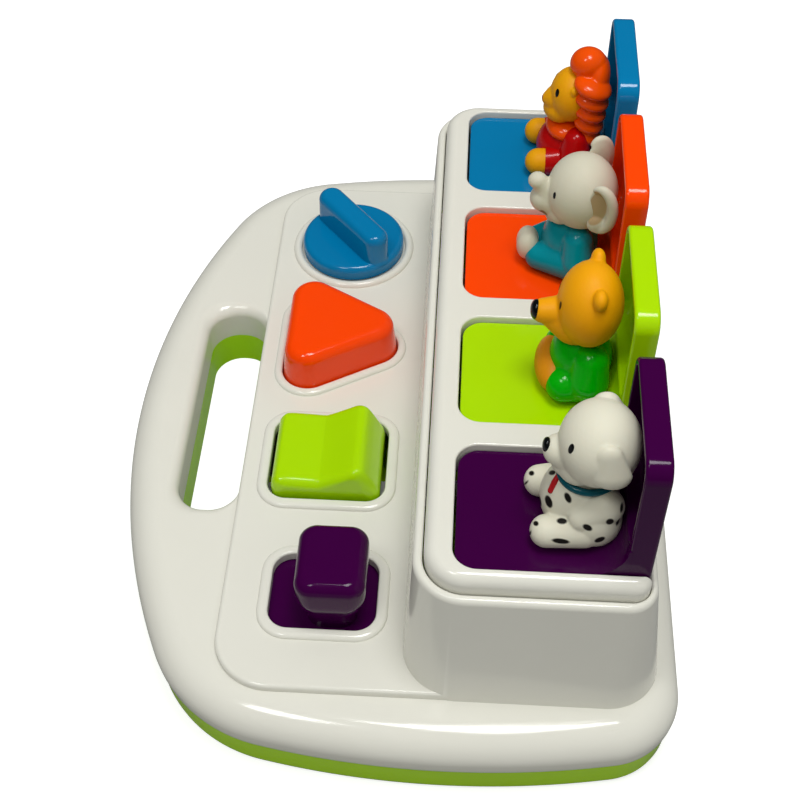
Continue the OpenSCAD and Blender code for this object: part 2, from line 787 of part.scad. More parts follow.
module bear_figure() {
    color("orange") translate([col_x[GREEN], 0, 0]) {
        seated_body(10.5, 64, 6.9)
            for (s = [-1, 1])
                ball([s * 6.2, 59.8, 101], [7.6, 6.2, 7.2]);
        ball([0, 71.5, 133], [15.2, 12.1, 16.4], 18);
        limb([0, 61, 128.8], [0, 55, 128.4], 5.8, 4.4);
        for (s = [-1, 1])
            translate([s * 11, 73.4, 145.6]) rotate([0, s * 45, 0]) ball([0, 0, 0], [4.2, 2.9, 4.2], 12);
    }
}

module dog_figure() {
    color("whitesmoke") translate([col_x[PURPLE], 0, 0]) {
        seated_body(11, 56.4, 5.9);
        ball([0, 72.6, 134.4], [15.7, 14, 15.7], 18);
        limb([0, 64, 128], [0, 58.8, 129.6], 7.4, 4.6);
        for (s = [-1, 1])
            translate([s * 14, 76.5, 135.4]) rotate([0, s * -6, 0]) ball([0, 0, 0], [3.8, 6.8, 10.6]);
    }
}

module figure_screws(i) {
    color(steel) for (s = [-1, 1])
        translate([col_x[i] + s * 5, seat_screw_y, floor_top - floor_t]) screw(2.6, 1.6, 1.1, 10);
}

module figure_screws_blue() { figure_screws(BLUE); }
module figure_screws_orange() { figure_screws(ORANGE); }
module figure_screws_green() { figure_screws(GREEN); }
module figure_screws_purple() { figure_screws(PURPLE); }

base_tray();
upper_shell();
deck_frame();
hinge_rod();
lever_rod();
lid_blue();
lid_orange();
lid_green();
lid_purple();
lion_figure();
elephant_figure();
bear_figure();
dog_figure();
figure_screws_blue();
figure_screws_orange();
figure_screws_green();
figure_screws_purple();
lid_spring_blue();
lid_spring_orange();
lid_spring_green();
lid_spring_purple();
release_lever_blue();
release_lever_orange();
release_lever_green();
release_lever_purple();
lever_spring_blue();
lever_spring_orange();
lever_spring_green();
lever_spring_purple();
dial_knob();
dial_cam();
dial_screw();
triangle_button();
rocker_switch();
slide_lever();
base_screws();
deck_screws();
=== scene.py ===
import math

import bmesh
import bpy
from mathutils import Matrix, Vector
from mathutils.bvhtree import BVHTree


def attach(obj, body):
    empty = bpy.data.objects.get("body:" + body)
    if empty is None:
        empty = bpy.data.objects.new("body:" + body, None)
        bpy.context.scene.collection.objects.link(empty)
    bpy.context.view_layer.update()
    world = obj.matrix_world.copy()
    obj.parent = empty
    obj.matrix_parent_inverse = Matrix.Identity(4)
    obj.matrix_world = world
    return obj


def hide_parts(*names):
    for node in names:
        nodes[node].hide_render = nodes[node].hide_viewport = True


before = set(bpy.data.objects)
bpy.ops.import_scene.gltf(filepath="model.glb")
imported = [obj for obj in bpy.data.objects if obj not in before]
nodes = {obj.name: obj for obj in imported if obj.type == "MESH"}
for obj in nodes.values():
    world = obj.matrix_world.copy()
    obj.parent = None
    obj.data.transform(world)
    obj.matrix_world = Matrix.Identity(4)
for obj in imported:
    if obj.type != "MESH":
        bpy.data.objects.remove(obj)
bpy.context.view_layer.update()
MM = 0.001

# ---------------------------------------------------------------- dimensions, in millimetres

COL_X = {"blue": -97.5, "orange": -32.5, "green": 32.5, "purple": 97.5}
BARS_X = (-65, 0, 65)
ANIMALS = {"blue": "lion", "orange": "elephant", "green": "bear", "purple": "dog"}
WALL = 2.4
ROD_BORE_R = 1.56

# Heights of the tray, the rim, the control panel, the box's ledge and the deck
TRAY_H, RIM_Z, PANEL_Z, LEDGE_Z, DECK_Z = 16.0, 33.0, 36.0, 90.0, 97.0

# Base outline: large arcs in front and at the sides, joined by smaller ones
FRONT_R, SIDE_R, SIDE_Y, CORNER_R, REAR_R = 283.0, 350.0, 25.0, 60.0, 29.0
HALF_W, HALF_D = 160.0, 112.5
RIM_ROLL_IN, RIM_ROLL_H = 13.0, 11.0
SLOT_W, SLOT_Y0, SLOT_Y1, SLOT_R = 112.0, -88.0, -62.0, 12.5
PANEL_X, PANEL_Y0, PANEL_R, PANEL_BACK = 139.2, -61.8, 22.0, 60.0
SCREWS = [(85, -82), (146, -5), (143, 86), (-85, -82), (-146, -5), (-143, 86)]

# Box: half width, front, rear, front corner radius and rear corner radius
BOX_FOOT = (139.7, 8.7, 103.8, 20.0, 20.0)
BOX_TOP = (134.1, 11.8, 96.5, 18.5, 11.0)
BOX_FOOT_IN = (137.2, 11.3, 101.2, 17.5, 17.5)
BOX_TOP_IN = (131.5, 14.3, 93.9, 16.0, 8.5)
BEAD_IN, MOUTH_REAR, MOUTH_R, MOUTH_REAR_R = 3.6, 93.8, 15, 7

# Deck frame with its wells
DECK_X, DECK_Y0, DECK_Y1, DECK_ROLL, DECK_LOW = 130.0, 15.8, 93.5, 4.5, 88.0
DECK_R, DECK_REAR_R = 14.6, 6
DECK_SCREWS_Y = (20.7, 74)
WELL_W, WELL_Y0, WELL_Y1, WELL_R = 54.0, 25.6, 113.5, 8.5

# Lids
HINGE_Y, HINGE_Z, BARREL_R = 87.5, 91.3, 5.5
LID_W, LID_T, LID_TOP, LID_REAR = 53.0, 9.0, 151.5, 93.0
LID_FRONT = LID_REAR - LID_T
FLOOR_TOP, FLOOR_T, FLOOR_Y0, FILLET = 94.3, 2.5, 26.4, 15.0
STOP_Y0, STOP_Y1, STOP_FOOT = 60, 66, 84.9
FIGURE_SCREW_X, FIGURE_SCREW_Y = 5, 64

# Controls: their places, the triangle's corner distance, the axes below them, and half width,
# half depth and corner radius of the square windows
DIAL_Y, BUTTON_Y, ROCKER_Y, WINDOW_Y, LEVER_Y = -26.3, -30.9, -26.4, -22.5, -18.7
ROCKER_WINDOW = (21.2, 24, 8)
LEVER_WINDOW = (16.8, 20.6, 8)
TRI_D = 18
ROCKER_AXIS_Z = 31
LEVER_ROD_Y, LEVER_ROD_Z = -54.5, 10
BEZEL_W, BEZEL_H = 4.4, 1.8
BEZEL_EDGE = [(0, -1), (0, 0.25), (0.12, 0.75), (0.45, 1.2), (1.0, 1.55), (1.9, BEZEL_H), (2.4, BEZEL_H)]

# ---------------------------------------------------------------- mesh helpers


def link(name, bm):
    mesh = bpy.data.meshes.new(name)
    bmesh.ops.recalc_face_normals(bm, faces=bm.faces)
    bm.to_mesh(mesh)
    bm.free()
    obj = bpy.data.objects.new(name, mesh)
    bpy.context.scene.collection.objects.link(obj)
    return obj


def loft(name, rings):
    """Closed solid through rings of the same number of points, given in millimetres."""
    bm = bmesh.new()
    rows = [[bm.verts.new(Vector(p) * MM) for p in r] for r in rings]
    n = len(rows[0])
    for a, b in zip(rows, rows[1:]):
        for i in range(n):
            bm.faces.new((a[i], a[(i + 1) % n], b[(i + 1) % n], b[i]))
    bm.faces.new(list(reversed(rows[0])))
    bm.faces.new(rows[-1])
    return link(name, bm)


def prism(name, outline, z0, z1):
    return loft(name, [[(x, y, z0) for x, y in outline], [(x, y, z1) for x, y in outline]])


def side_prism(name, outline, x0, x1):
    """Extrusion along X of an outline in the Y-Z plane."""
    return loft(name, [[(x0, y, z) for y, z in outline], [(x1, y, z) for y, z in outline]])


def box(name, x0, x1, y0, y1, z0, z1):
    return prism(name, [(x0, y0), (x1, y0), (x1, y1), (x0, y1)], z0, z1)


def rod_x(name, x0, x1, y, z, r, n=48):
    turn = [2 * math.pi * i / n for i in range(n)]
    return side_prism(name, [(y + r * math.cos(t), z + r * math.sin(t)) for t in turn], x0, x1)


def revolve(name, profile, centre, n=96):
    """Solid of revolution about a vertical axis from a closed profile of (radius, height)."""
    bm = bmesh.new()
    rows = []
    for i in range(n):
        t = 2 * math.pi * i / n
        rows.append([bm.verts.new(Vector((centre[0] + r * math.cos(t), centre[1] + r * math.sin(t),
                                          centre[2] + z)) * MM) for r, z in profile])
    m = len(profile)
    for i in range(n):
        a, b = rows[i], rows[(i + 1) % n]
        for k in range(m):
            bm.faces.new((a[k], b[k], b[(k + 1) % m], a[(k + 1) % m]))
    bmesh.ops.remove_doubles(bm, verts=bm.verts, dist=1e-7)
    return link(name, bm)


def cylinder(name, x, y, z0, z1, r, n=64):
    return prism(name, [(x + r * math.cos(2 * math.pi * i / n), y + r * math.sin(2 * math.pi * i / n))
                        for i in range(n)], z0, z1)


def apply_modifiers(obj):
    deps = bpy.context.evaluated_depsgraph_get()
    mesh = bpy.data.meshes.new_from_object(obj.evaluated_get(deps))
    obj.modifiers.clear()
    old = obj.data
    obj.data = mesh
    bpy.data.meshes.remove(old)


def combine(target, tools, operation):
    for tool in tools:
        mod = target.modifiers.new("bool", "BOOLEAN")
        mod.operation = operation
        mod.solver = "MANIFOLD"
        mod.object = tool
    apply_modifiers(target)
    for tool in tools:
        bpy.data.objects.remove(tool)


def union(target, *tools):
    combine(target, tools, "UNION")


def cut(target, *tools):
    combine(target, tools, "DIFFERENCE")


def smooth(obj, angle):
    mesh = obj.data
    mesh.polygons.foreach_set("use_smooth", [True] * len(mesh.polygons))
    mesh.set_sharp_from_angle(angle=math.radians(angle))
    mod = obj.modifiers.new("normals", "WEIGHTED_NORMAL")
    mod.keep_sharp = True
    mod.weight = 80


def dress(obj, body, material, replaces=None, angle=32):
    obj.data.materials.clear()
    obj.data.materials.append(material)
    smooth(obj, angle)
    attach(obj, body)
    if replaces:
        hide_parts(*([replaces] if isinstance(replaces, str) else replaces))
    return obj


# ---------------------------------------------------------------- outlines


def circles_meet(p, rp, q, rq):
    d = math.hypot(q[0] - p[0], q[1] - p[1])
    a = (rp * rp - rq * rq + d * d) / (2 * d)
    h = math.sqrt(rp * rp - a * a)
    ux, uy = (q[0] - p[0]) / d, (q[1] - p[1]) / d
    s = 1 if ux < 0 else -1
    return (p[0] + a * ux - s * h * uy, p[1] + a * uy + s * h * ux)


def heading(p, q):
    return math.atan2(q[1] - p[1], q[0] - p[0])


def arc(c, r, a0, a1, n):
    return [(c[0] + r * math.cos(a0 + (a1 - a0) * i / n), c[1] + r * math.sin(a0 + (a1 - a0) * i / n))
            for i in range(n + 1)]


FRONT_C = (0.0, FRONT_R - HALF_D)
SIDE_C = (HALF_W - SIDE_R, SIDE_Y)
CORNER_C = circles_meet(FRONT_C, FRONT_R - CORNER_R, SIDE_C, SIDE_R - CORNER_R)
REAR_Y = HALF_D - REAR_R
REAR_C = (SIDE_C[0] + math.sqrt((SIDE_R - REAR_R) ** 2 - (REAR_Y - SIDE_C[1]) ** 2), REAR_Y)


def base_ring(inset, z):
    """The base's D-shaped outline, drawn in by inset."""
    a1, a2, a3 = heading(FRONT_C, CORNER_C), heading(SIDE_C, CORNER_C), heading(SIDE_C, REAR_C)
    half = arc(FRONT_C, FRONT_R - inset, -math.pi / 2, a1, 40)
    half += arc(CORNER_C, CORNER_R - inset, a1, a2, 36)[1:]
    half += arc(SIDE_C, SIDE_R - inset, a2, a3, 24)[1:]
    half += arc(REAR_C, REAR_R - inset, a3, math.pi / 2, 28)[1:]
    return [(x, y, z) for x, y in half + [(-x, y) for x, y in half[:0:-1]]]


def rect(x0, x1, y0, y1, r, rear=None, n=14):
    """Rectangle with round corners; rear is the rear corners' own radius."""
    q = r if rear is None else rear
    out = []
    for cx, cy, a, rr in ((x1 - r, y0 + r, -90, r), (x1 - q, y1 - q, 0, q), (x0 + q, y1 - q, 90, q),
                          (x0 + r, y0 + r, 180, r)):
        out += [(cx + rr * math.cos(math.radians(a + 90 * i / n)),
                 cy + rr * math.sin(math.radians(a + 90 * i / n))) for i in range(n + 1)]
    return out


def rect_ring(x0, x1, y0, y1, r, z, rear=None, n=14):
    return [(x, y, z) for x, y in rect(x0, x1, y0, y1, r, rear, n)]


def box_ring(b, inset, z):
    """Outline of the box from one of the BOX_ rows."""
    return rect_ring(-b[0] + inset, b[0] - inset, b[1] + inset, b[2] - inset, b[3] - inset, z, b[4] - inset)


def tri_ring(cx, cy, d, r, z, n=20):
    """Triangle with round corners of radius r, whose centres lie d from the middle."""
    out = []
    for k in range(3):
        a = math.radians(-30 + 120 * k)
        for i in range(n + 1):
            b = a + math.radians(-60 + 120 * i / n)
            out.append((cx + d * math.cos(a) + r * math.cos(b), cy + d * math.sin(a) + r * math.sin(b), z))
    return out


def quarter(n):
    return [math.radians(90 * i / n) for i in range(n + 1)]


def rounding(top, n, inset, rise=None):
    """Insets and heights of a rounded top edge, from the side up to the top."""
    rise = inset if rise is None else rise
    return [(inset * (1 - math.cos(t)), top - rise + rise * math.sin(t)) for t in quarter(n)]


# ---------------------------------------------------------------- materials


def node(tree, kind, **values):
    """New shader node with constant inputs or settings."""
    n = tree.nodes.new(kind)
    for key, value in values.items():
        if key in n.inputs:
            n.inputs[key].default_value = value
        else:
            setattr(n, key, value)
    return n


def ramp_node(tree, low, high, start=0.0, end=1.0):
    n = tree.nodes.new("ShaderNodeValToRGB")
    for stop, colour, at in zip(n.color_ramp.elements, (low, high), (start, end)):
        stop.position = at
        stop.color = (*colour, 1)
    return n


def plastic(name, colour, rough=0.13, spread=0.05, grain=0.035, translucent=0.0, radius=(1.0, 1.0, 1.0),
            shine=0.5):
    """Glossy moulded plastic: faint flow marks in its colour, uneven polish and a fine orange peel."""
    mat = bpy.data.materials.new(name)
    mat.use_nodes = True
    t = mat.node_tree
    shader = t.nodes["Principled BSDF"]
    coord = node(t, "ShaderNodeTexCoord")
    flow = node(t, "ShaderNodeTexNoise", Scale=14.0, Detail=4.0, Roughness=0.55, Distortion=0.6)
    ramp = ramp_node(t, [c * (1 - spread) for c in colour], [min(1, c * (1 + spread)) for c in colour],
                     0.3, 0.72)
    polish = node(t, "ShaderNodeTexNoise", Scale=60.0, Detail=5.0, Roughness=0.65)
    spans = node(t, "ShaderNodeMapRange", **{"From Min": 0.3, "From Max": 0.75, "To Min": rough * 0.75,
                                             "To Max": rough * 1.5})
    peel = node(t, "ShaderNodeTexNoise", Scale=420.0, Detail=2.0, Roughness=0.5)
    bump = node(t, "ShaderNodeBump", Strength=grain, Distance=0.0004)
    for tex in (flow, polish, peel):
        t.links.new(coord.outputs["Object"], tex.inputs["Vector"])
    t.links.new(flow.outputs["Fac"], ramp.inputs["Fac"])
    t.links.new(ramp.outputs["Color"], shader.inputs["Base Color"])
    t.links.new(polish.outputs["Fac"], spans.inputs["Value"])
    t.links.new(spans.outputs["Result"], shader.inputs["Roughness"])
    t.links.new(peel.outputs["Fac"], bump.inputs["Height"])
    t.links.new(bump.outputs["Normal"], shader.inputs["Normal"])
    shader.inputs["IOR"].default_value = 1.5
    shader.inputs["Specular IOR Level"].default_value = shine
    if translucent:
        shader.inputs["Subsurface Weight"].default_value = translucent
        shader.inputs["Subsurface Radius"].default_value = radius
        shader.inputs["Subsurface Scale"].default_value = 0.0015
    return mat


def steel(name, colour):
    """Drawn steel wire or rod, with fine scratches along its length and a dulled surface."""
    mat = bpy.data.materials.new(name)
    mat.use_nodes = True
    t = mat.node_tree
    shader = t.nodes["Principled BSDF"]
    coord = node(t, "ShaderNodeTexCoord")
    scratch = node(t, "ShaderNodeTexNoise", Scale=900.0, Detail=4.0)
    spans = node(t, "ShaderNodeMapRange", **{"To Min": 0.22, "To Max": 0.5})
    shade = ramp_node(t, [c * 0.8 for c in colour], [min(1, c * 1.15) for c in colour])
    t.links.new(coord.outputs["Object"], scratch.inputs["Vector"])
    t.links.new(scratch.outputs["Fac"], spans.inputs["Value"])
    t.links.new(spans.outputs["Result"], shader.inputs["Roughness"])
    t.links.new(scratch.outputs["Fac"], shade.inputs["Fac"])
    t.links.new(shade.outputs["Color"], shader.inputs["Base Color"])
    shader.inputs["Metallic"].default_value = 1.0
    return mat


def srgb(code):
    """Linear colour of a six-digit hexadecimal sRGB code."""
    out = []
    for i in (0, 2, 4):
        c = int(code[i:i + 2], 16) / 255
        out.append(c / 12.92 if c <= 0.04045 else ((c + 0.055) / 1.055) ** 2.4)
    return tuple(out)


SHELL = plastic("shell_white_gloss", srgb("E4E3D8"), rough=0.11, spread=0.012, grain=0.03, translucent=0.15)
DECK = plastic("deck_white_gloss", srgb("E4E3D8"), rough=0.12, spread=0.012, grain=0.03, translucent=0.15)
TRAY = plastic("tray_lime_gloss", srgb("B4E800"), rough=0.16, spread=0.03, translucent=0.1, shine=0.3)
COLOURS = {
    "blue": plastic("blue_gloss", srgb("0078AC"), rough=0.11, spread=0.03, shine=0.4),
    "orange": plastic("orange_gloss", srgb("FF4600"), rough=0.12, spread=0.02, translucent=0.1, shine=0.35),
    "green": plastic("lime_gloss", srgb("ACDD00"), rough=0.12, spread=0.02, translucent=0.15, shine=0.4),
    "purple": plastic("purple_gloss", srgb("3A003C"), rough=0.10, spread=0.04, shine=0.18),
}
CATCH = plastic("catch_natural", srgb("DAD9D2"), rough=0.35, spread=0.03, grain=0.08)
STEEL = steel("drawn_steel", (0.58, 0.58, 0.6))

# ---------------------------------------------------------------- base


def slot_outline(grow):
    return rect(-SLOT_W / 2 - grow, SLOT_W / 2 + grow, SLOT_Y0 - grow, SLOT_Y1 + grow, SLOT_R + grow, n=24)


def make_tray():
    skirt = [(5.2, 0), (4.4, 0.15), (3.6, 0.5), (2.9, 1.2), (2.5, 2.2), (2.1, 4), (1.6, TRAY_H - 0.4),
             (1.9, TRAY_H)]
    tray = loft("tray", [base_ring(inset, z) for inset, z in skirt])
    cut(tray, loft("hollow", [base_ring(5, 2.5), base_ring(4.2, TRAY_H + 1)]))
    union(tray, prism("sleeve", slot_outline(WALL), 1, TRAY_H))
    union(tray, *[cylinder("boss", x, y, 1, TRAY_H, 4.6) for x, y in SCREWS])
    # Spring pegs and bearings of the release levers
    for x in COL_X.values():
        union(tray, cylinder("peg", x, 20, 1, 5.5, 2.2),
              *[box("ear", x + s * 6.1 - 1.5, x + s * 6.1 + 1.5, LEVER_ROD_Y - 3.8,
                    LEVER_ROD_Y + 3.8, 1, 14) for s in (-1, 1)])
    cut(tray, prism("slot", slot_outline(0), -1, TRAY_H + 1))
    cut(tray, rod_x("bore", -120, 120, LEVER_ROD_Y, LEVER_ROD_Z, ROD_BORE_R))
    for x, y in SCREWS:
        cut(tray, cylinder("sink", x, y, -1, 8, 3.6), cylinder("bore", x, y, 5, TRAY_H + 1, 1.8))
    return tray


def bezel_rect(x, y, hx, hy, r):
    b = BEZEL_W
    return loft("bezel", [rect_ring(x - hx - b + e, x + hx + b - e, y - hy - b + e, y + hy + b - e,
                                    r + b - e, PANEL_Z + z) for e, z in BEZEL_EDGE])


def window(outline, lip=0.9):
    """Cutter for a control's window, which rounds its top edge over the last millimetre."""
    top = PANEL_Z + BEZEL_H
    return loft("window", [outline(0, top - 6)] + [outline(g, z) for g, z in rounding(top, 5, lip)]
                + [outline(lip, top + 2)])


def window_rect(x, y, hx, hy, r):
    return window(lambda g, z: rect_ring(x - hx - g, x + hx + g, y - hy - g, y + hy + g, r + g, z))


def add_panel(skin):
    """Raised control panel, rounded at its front and sides."""
    edge = [(0, RIM_Z - 2)] + rounding(PANEL_Z, 7, 1.6)
    union(skin, loft("panel", [rect_ring(-PANEL_X + e, PANEL_X - e, PANEL_Y0 + e, PANEL_BACK, PANEL_R - e, z,
                                         n=24) for e, z in edge]))


def add_beads(skin):
    """Beads round the dial and the three windows."""
    ring = [(26.2 + 2 * math.cos(t), 2 * math.sin(t)) for t in [2 * math.pi * i / 28 for i in range(28)]]
    union(skin, revolve("bead", ring, (COL_X["blue"], DIAL_Y, PANEL_Z)))
    union(skin, loft("bead", [tri_ring(COL_X["orange"], BUTTON_Y, TRI_D, 14.8 - e, PANEL_Z + z)
                              for e, z in BEZEL_EDGE]),
          bezel_rect(COL_X["green"], ROCKER_Y, *ROCKER_WINDOW),
          bezel_rect(COL_X["purple"], WINDOW_Y, *LEVER_WINDOW))


def hollow_out(skin):
    """Inside of the rim, the panel and the box, and the mouth that the deck frame covers."""
    hollow = loft("hollow", [base_ring(1 + WALL, TRAY_H - 1), base_ring(WALL, 22), base_ring(3 + WALL, 28),
                             base_ring(12, RIM_Z - WALL)])
    cut(hollow, prism("sleeve", slot_outline(WALL), TRAY_H - 2, RIM_Z))
    cut(skin, hollow)
    cut(skin, prism("hollow", rect(-PANEL_X + WALL + 1, PANEL_X - WALL - 1, PANEL_Y0 + WALL + 0.4,
                                   PANEL_BACK - 2, 19), RIM_Z - WALL - 1, PANEL_Z - WALL))
    cut(skin, loft("hollow", [box_ring(BOX_FOOT_IN, 0, RIM_Z - 4), box_ring(BOX_TOP_IN, 0, LEDGE_Z - 2)]))
    x, y, lip = BOX_TOP[0] - BEAD_IN, BOX_TOP[1] + BEAD_IN, 1.2

    def mouth(g, z):
        return rect_ring(-x - g, x + g, y - g, MOUTH_REAR + g, MOUTH_R + g, z, MOUTH_REAR_R + g)

    cut(skin, loft("mouth", [mouth(0, LEDGE_Z - 2.1)] + [mouth(g, z) for g, z in rounding(LEDGE_Z, 6, lip)]
                   + [mouth(lip, LEDGE_Z + 2)]))


def make_shell():
    skirt = [(1.3, TRAY_H), (0.9, TRAY_H + 0.35), (0.6, TRAY_H + 1.2), (0.3, TRAY_H + 3)]
    roll = rounding(RIM_Z, 16, RIM_ROLL_IN, RIM_ROLL_H)
    skin = loft("shell", [base_ring(inset, z) for inset, z in skirt + roll])
    # Rolled lip of the carrying slot; the panel's front wall closes its rear side
    lip = rounding(RIM_Z, 10, 5.0)
    lip[-1] = (lip[-1][0], lip[-1][1] + 0.02)
    cut(skin, loft("lip", [rect_ring(-SLOT_W / 2 - g, SLOT_W / 2 + g, SLOT_Y0 - g, SLOT_Y1, SLOT_R, z, n=24)
                           for g, z in lip]))
    add_panel(skin)
    crown = rounding(LEDGE_Z, 9, 1.9, 2.6)
    union(skin, loft("box", [box_ring(BOX_FOOT, 0, RIM_Z - 2)] + [box_ring(BOX_TOP, e, z) for e, z in crown]))
    add_beads(skin)
    hollow_out(skin)
    # Brackets: rocker bearings, slide rails, screw posts and deck lugs
    bx, ox, gx, px = COL_X.values()
    for s in (-1, 1):
        union(skin, box("bearing", gx + s * 24.4 - 2, gx + s * 24.4 + 2, ROCKER_Y - 5, ROCKER_Y + 5, 27,
                        PANEL_Z - 1),
              box("rail", px + s * 20.8 - 1.2, px + s * 20.8 + 1.2, -58, 4, 28.4, PANEL_Z - 1),
              box("rail", px + s * 19.2 - 1.8, px + s * 19.2 + 1.8, -58, 4, 28.4, 30.4))
    union(skin, *[cylinder("post", x, y, TRAY_H, RIM_Z - 1, 4.2) for x, y in SCREWS])
    for x in BARS_X:
        union(skin, box("lug", x - 4, x + 4, 12, 24.7, 80, 84), box("lug", x - 4, x + 4, 70, 95, 80, 84))
    # Openings
    cut(skin, prism("slot", slot_outline(0), TRAY_H - 1, PANEL_Z + 5))
    cut(skin, cylinder("hole", bx, DIAL_Y, PANEL_Z - 6, PANEL_Z + 6, 6.08),
        window(lambda g, z: tri_ring(ox, BUTTON_Y, TRI_D, 11.3 + g, z)),
        window_rect(gx, ROCKER_Y, *ROCKER_WINDOW), window_rect(px, WINDOW_Y, *LEVER_WINDOW),
        rod_x("bearing", gx - 30, gx + 30, ROCKER_Y, ROCKER_AXIS_Z, 2.06))
    for x, y in SCREWS:
        cut(skin, cylinder("bore", x, y, TRAY_H - 1, TRAY_H + 12, 1.4))
    for x in BARS_X:
        cut(skin, *[cylinder("bore", x, y, 79, 85, 1.7) for y in DECK_SCREWS_Y])
    return skin


def deck_ring(inset, z):
    return rect_ring(-DECK_X + inset, DECK_X - inset, DECK_Y0 + inset, DECK_Y1 - inset, DECK_R - inset, z,
                     DECK_REAR_R - inset, n=20)


def well_ring(x, grow, z):
    return rect_ring(x - WELL_W / 2 - grow, x + WELL_W / 2 + grow, WELL_Y0 - grow, WELL_Y1, WELL_R + grow, z,
                     n=18)


def make_deck():
    roll = rounding(DECK_Z, 12, DECK_ROLL)
    deck = loft("deck", [deck_ring(0, DECK_LOW)] + [deck_ring(e, z) for e, z in roll])
    cut(deck, box("hollow", -114, 114, 18, 23.4, 87, 94.5),
        *[box("hollow", x - 3.3, x + 3.3, 18, 80, 87, 94.5) for x in BARS_X])
    for x in BARS_X:
        union(deck, *[cylinder("boss", x, y, 84.2, 94.7, 3.2) for y in DECK_SCREWS_Y])
    lip = 0.8
    for x in COL_X.values():
        cut(deck, loft("well", [well_ring(x, 0, DECK_LOW - 1)]
                       + [well_ring(x, g, z) for g, z in rounding(DECK_Z, 6, lip)]
                       + [well_ring(x, lip, DECK_Z + 2)]))
    cut(deck, rod_x("bore", -131, 127.5, HINGE_Y, HINGE_Z, ROD_BORE_R))
    for x in BARS_X:
        cut(deck, *[cylinder("bore", x, y, 84, 93, 1.3) for y in DECK_SCREWS_Y])
    return deck


dress(make_tray(), "base", TRAY, "base_tray")
dress(make_shell(), "base", SHELL, "upper_shell")
dress(make_deck(), "base", DECK, "deck_frame")

# ---------------------------------------------------------------- lids


def make_lid(x):
    h, rim, edge = LID_W / 2, 2.5, 1.3

    def upright(inset, y):
        # Panel outline in the X-Z plane, square at its foot
        r, side, top = 7.0 - inset, h - inset, LID_TOP - inset
        out = [(x - h + inset, y, HINGE_Z), (x + h - inset, y, HINGE_Z)]
        out += [(x + side - r + r * math.cos(t), y, top - r + r * math.sin(t)) for t in quarter(14)]
        out += [(x - side + r - r * math.sin(t), y, top - r + r * math.cos(t)) for t in quarter(14)]
        return out

    panel = loft("lid", [upright(edge * (1 - math.sin(t)), LID_REAR - edge * (1 - math.cos(t)))
                         for t in quarter(6)]
                 + [upright(edge * (1 - math.cos(t)), LID_FRONT + edge * (1 - math.sin(t)))
                    for t in quarter(6)])
    floor = loft("floor", [rect_ring(x - h, x + h, FLOOR_Y0, HINGE_Y, 8, FLOOR_TOP - FLOOR_T, 0.01)]
                 + [rect_ring(x - h + g, x + h - g, FLOOR_Y0 + g, HINGE_Y, 8 - g, z, 0.01)
                    for g, z in rounding(FLOOR_TOP, 4, 0.5)])
    # Cove between floor and panel
    cy, cz = LID_FRONT - FILLET, FLOOR_TOP + FILLET
    curve = [(cy + FILLET * math.sin(t), cz - FILLET * math.cos(t)) for t in quarter(20)]
    cove = side_prism("cove", [(cy, FLOOR_TOP - 1), (LID_FRONT + 1, FLOOR_TOP - 1), (LID_FRONT + 1, cz)]
                      + curve[::-1], x - h, x + h)
    union(panel, floor, cove, rod_x("barrel", x - h, x + h, HINGE_Y, HINGE_Z, BARREL_R, 64))
    for s in (-1, 1):
        union(panel, box("stop", x + s * 25 - 1.5, x + s * 25 + 1.5, STOP_Y0, STOP_Y1, STOP_FOOT, 93.3),
              box("stop", x + s * 26 - 2.5, x + s * 26 + 2.5, STOP_Y0, STOP_Y1, STOP_FOOT, 87.5))

    def dish(grow, y):
        # Outline of the recess in the panel's front
        return [(px, y, pz) for px, pz in rect(x - h + rim - grow, x + h - rim + grow, cz - 1 - grow,
                                               LID_TOP - rim + grow, 4.5 + grow, n=12)]

    bottom, foot, lip = LID_REAR - rim, 1.6, 0.7
    rings = [dish(-foot * (1 - math.sin(t)), bottom - foot * (1 - math.cos(t))) for t in quarter(6)]
    rings += [dish(lip * (1 - math.cos(t)), LID_FRONT + lip - lip * math.sin(t)) for t in quarter(5)]
    rings.append(dish(lip, LID_FRONT - 3))
    cut(panel, loft("recess", rings))
    cut(panel, rod_x("bore", x - h - 1, x + h + 1, HINGE_Y, HINGE_Z, ROD_BORE_R),
        rod_x("bore", x - h - 1, x - h + 11.5, HINGE_Y, HINGE_Z, 4.2),
        *[cylinder("bore", x + s * FIGURE_SCREW_X, FIGURE_SCREW_Y, FLOOR_TOP - FLOOR_T - 1, FLOOR_TOP + 1, 1.5)
          for s in (-1, 1)])
    return panel


for c, x in COL_X.items():
    dress(make_lid(x), "pop_lid_" + c, COLOURS[c], "lid_" + c)

# ---------------------------------------------------------------- controls


